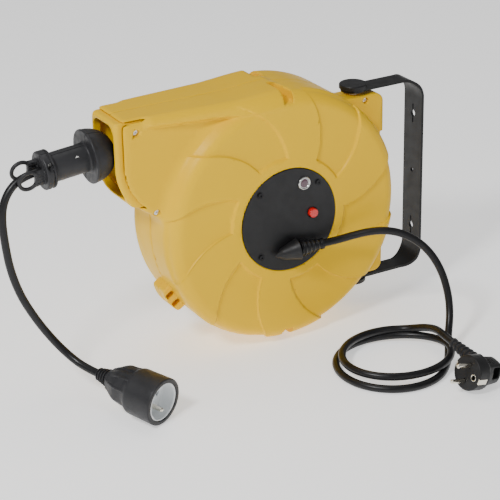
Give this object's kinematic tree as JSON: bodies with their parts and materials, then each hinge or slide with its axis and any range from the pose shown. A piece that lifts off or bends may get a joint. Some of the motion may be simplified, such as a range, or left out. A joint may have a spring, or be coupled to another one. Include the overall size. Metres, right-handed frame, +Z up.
{
  "type": "extension cord reel",
  "caption": "Wall-mounted retractable extension cord reel: round housing swivelling in a bracket, ball stop and socket on its output cord, mains lead with angled plug.",
  "frame": {"origin": "centre of the wall plate's back face, which lies on the wall", "axes": "+X into the wall, -X towards the cord outlet, -Y towards the faceplate, +Z up along the swivel pins"},
  "size_m": [0.5101, 0.3209, 0.2885],
  "materials": {
    "yellow": "glossy, lightly moulded",
    "black_steel": "satin",
    "steel": "satin",
    "zinc": "bright",
    "black_moulding": "fine matte",
    "stop_rubber": "matte",
    "cord_rubber": "matte",
    "red_button": "glossy",
    "lens": "glossy, clouded",
    "grey_insert": "satin",
    "nickel": "polished",
    "brass": "satin",
    "carbon": "dull",
    "drum_plastic": "satin",
    "bush_nylon": "satin",
    "spring_steel": "blued"
  },
  "bodies": {
    "bracket": {"wall_bracket": "black_steel", "upper_pivot_knob": "black_moulding", "lower_pivot_knob": "black_moulding", "pivot_bolts": "steel"},
    "housing": {"front_shell": "yellow", "rear_shell": "yellow", "outlet_frame": "yellow", "pivot_bushes": "bush_nylon", "case_screws": "zinc", "faceplate": "black_moulding", "faceplate_screws": "black_steel", "pilot_lens": "lens", "button_spring": "spring_steel", "thermal_cutout": "black_moulding", "lead_boot": "cord_rubber", "main_axle": "steel", "axle_nut": "zinc", "brush_holder": "bush_nylon", "carbon_brushes": "carbon", "terminal_block": "bush_nylon", "spring_arbor": "steel", "pawl_pin": "steel", "pawl_spring": "spring_steel", "mains_lead": "cord_rubber", "mains_lead_coil": "cord_rubber", "mains_lead_tail": "cord_rubber", "plug_body": "black_moulding", "plug_boot": "stop_rubber", "plug_pins": "nickel", "plug_earth_clips": "nickel"},
    "drum": {"drum_core": "drum_plastic", "drum_front_flange": "drum_plastic", "drum_rear_flange": "drum_plastic", "drum_bushes": "bush_nylon", "drum_screws": "zinc", "slip_ring_disc": "bush_nylon", "slip_rings": "brass", "mainspring": "spring_steel", "spring_cover": "steel", "ratchet_ring": "steel", "cord_pack": "cord_rubber"},
    "pawl": {"pawl": "steel"},
    "reset_button": {"reset_button": "red_button"},
    "cord_end": {"stopper_front_half": "stop_rubber", "stopper_rear_half": "stop_rubber", "stopper_screws": "zinc", "inner_cord": "cord_rubber", "output_cord": "cord_rubber", "coupling_boot": "stop_rubber", "coupling_body": "stop_rubber", "coupling_insert": "grey_insert", "coupling_earth_pin": "nickel"}
  },
  "joints": [
    {"name": "bracket_swivel", "type": "hinge", "parent": "bracket", "child": "housing", "pos_m": [-0.084, 0, 0], "axis": [0, 0, 1], "range_deg": [-90, 80]},
    {"name": "drum_spin", "type": "hinge", "parent": "housing", "child": "drum", "pos_m": [-0.197, 0, 0], "axis": [0, 1, 0], "range_deg": [-67.5, 0]},
    {"name": "pawl_swing", "type": "hinge", "parent": "housing", "child": "pawl", "pos_m": [-0.24583, 0.033, 0.09183], "axis": [0, 1, 0], "range_deg": [-10, 5], "stiffness_Nm_per_rad": 0.02},
    {"name": "button_press", "type": "slide", "parent": "housing", "child": "reset_button", "axis": [0, 1, 0], "range_m": [0, 0.002], "stiffness_N_per_m": 400, "deforming": ["button_spring"]},
    {"name": "cord_pull", "type": "slide", "parent": "housing", "child": "cord_end", "axis": [-0.9957, 0, -0.0924], "range_m": [0, 0.14]}
  ],
  "couplings": [
    {"joint": "drum_spin", "follows": "cord_pull", "rad_per_m": -8.35}
  ]
}
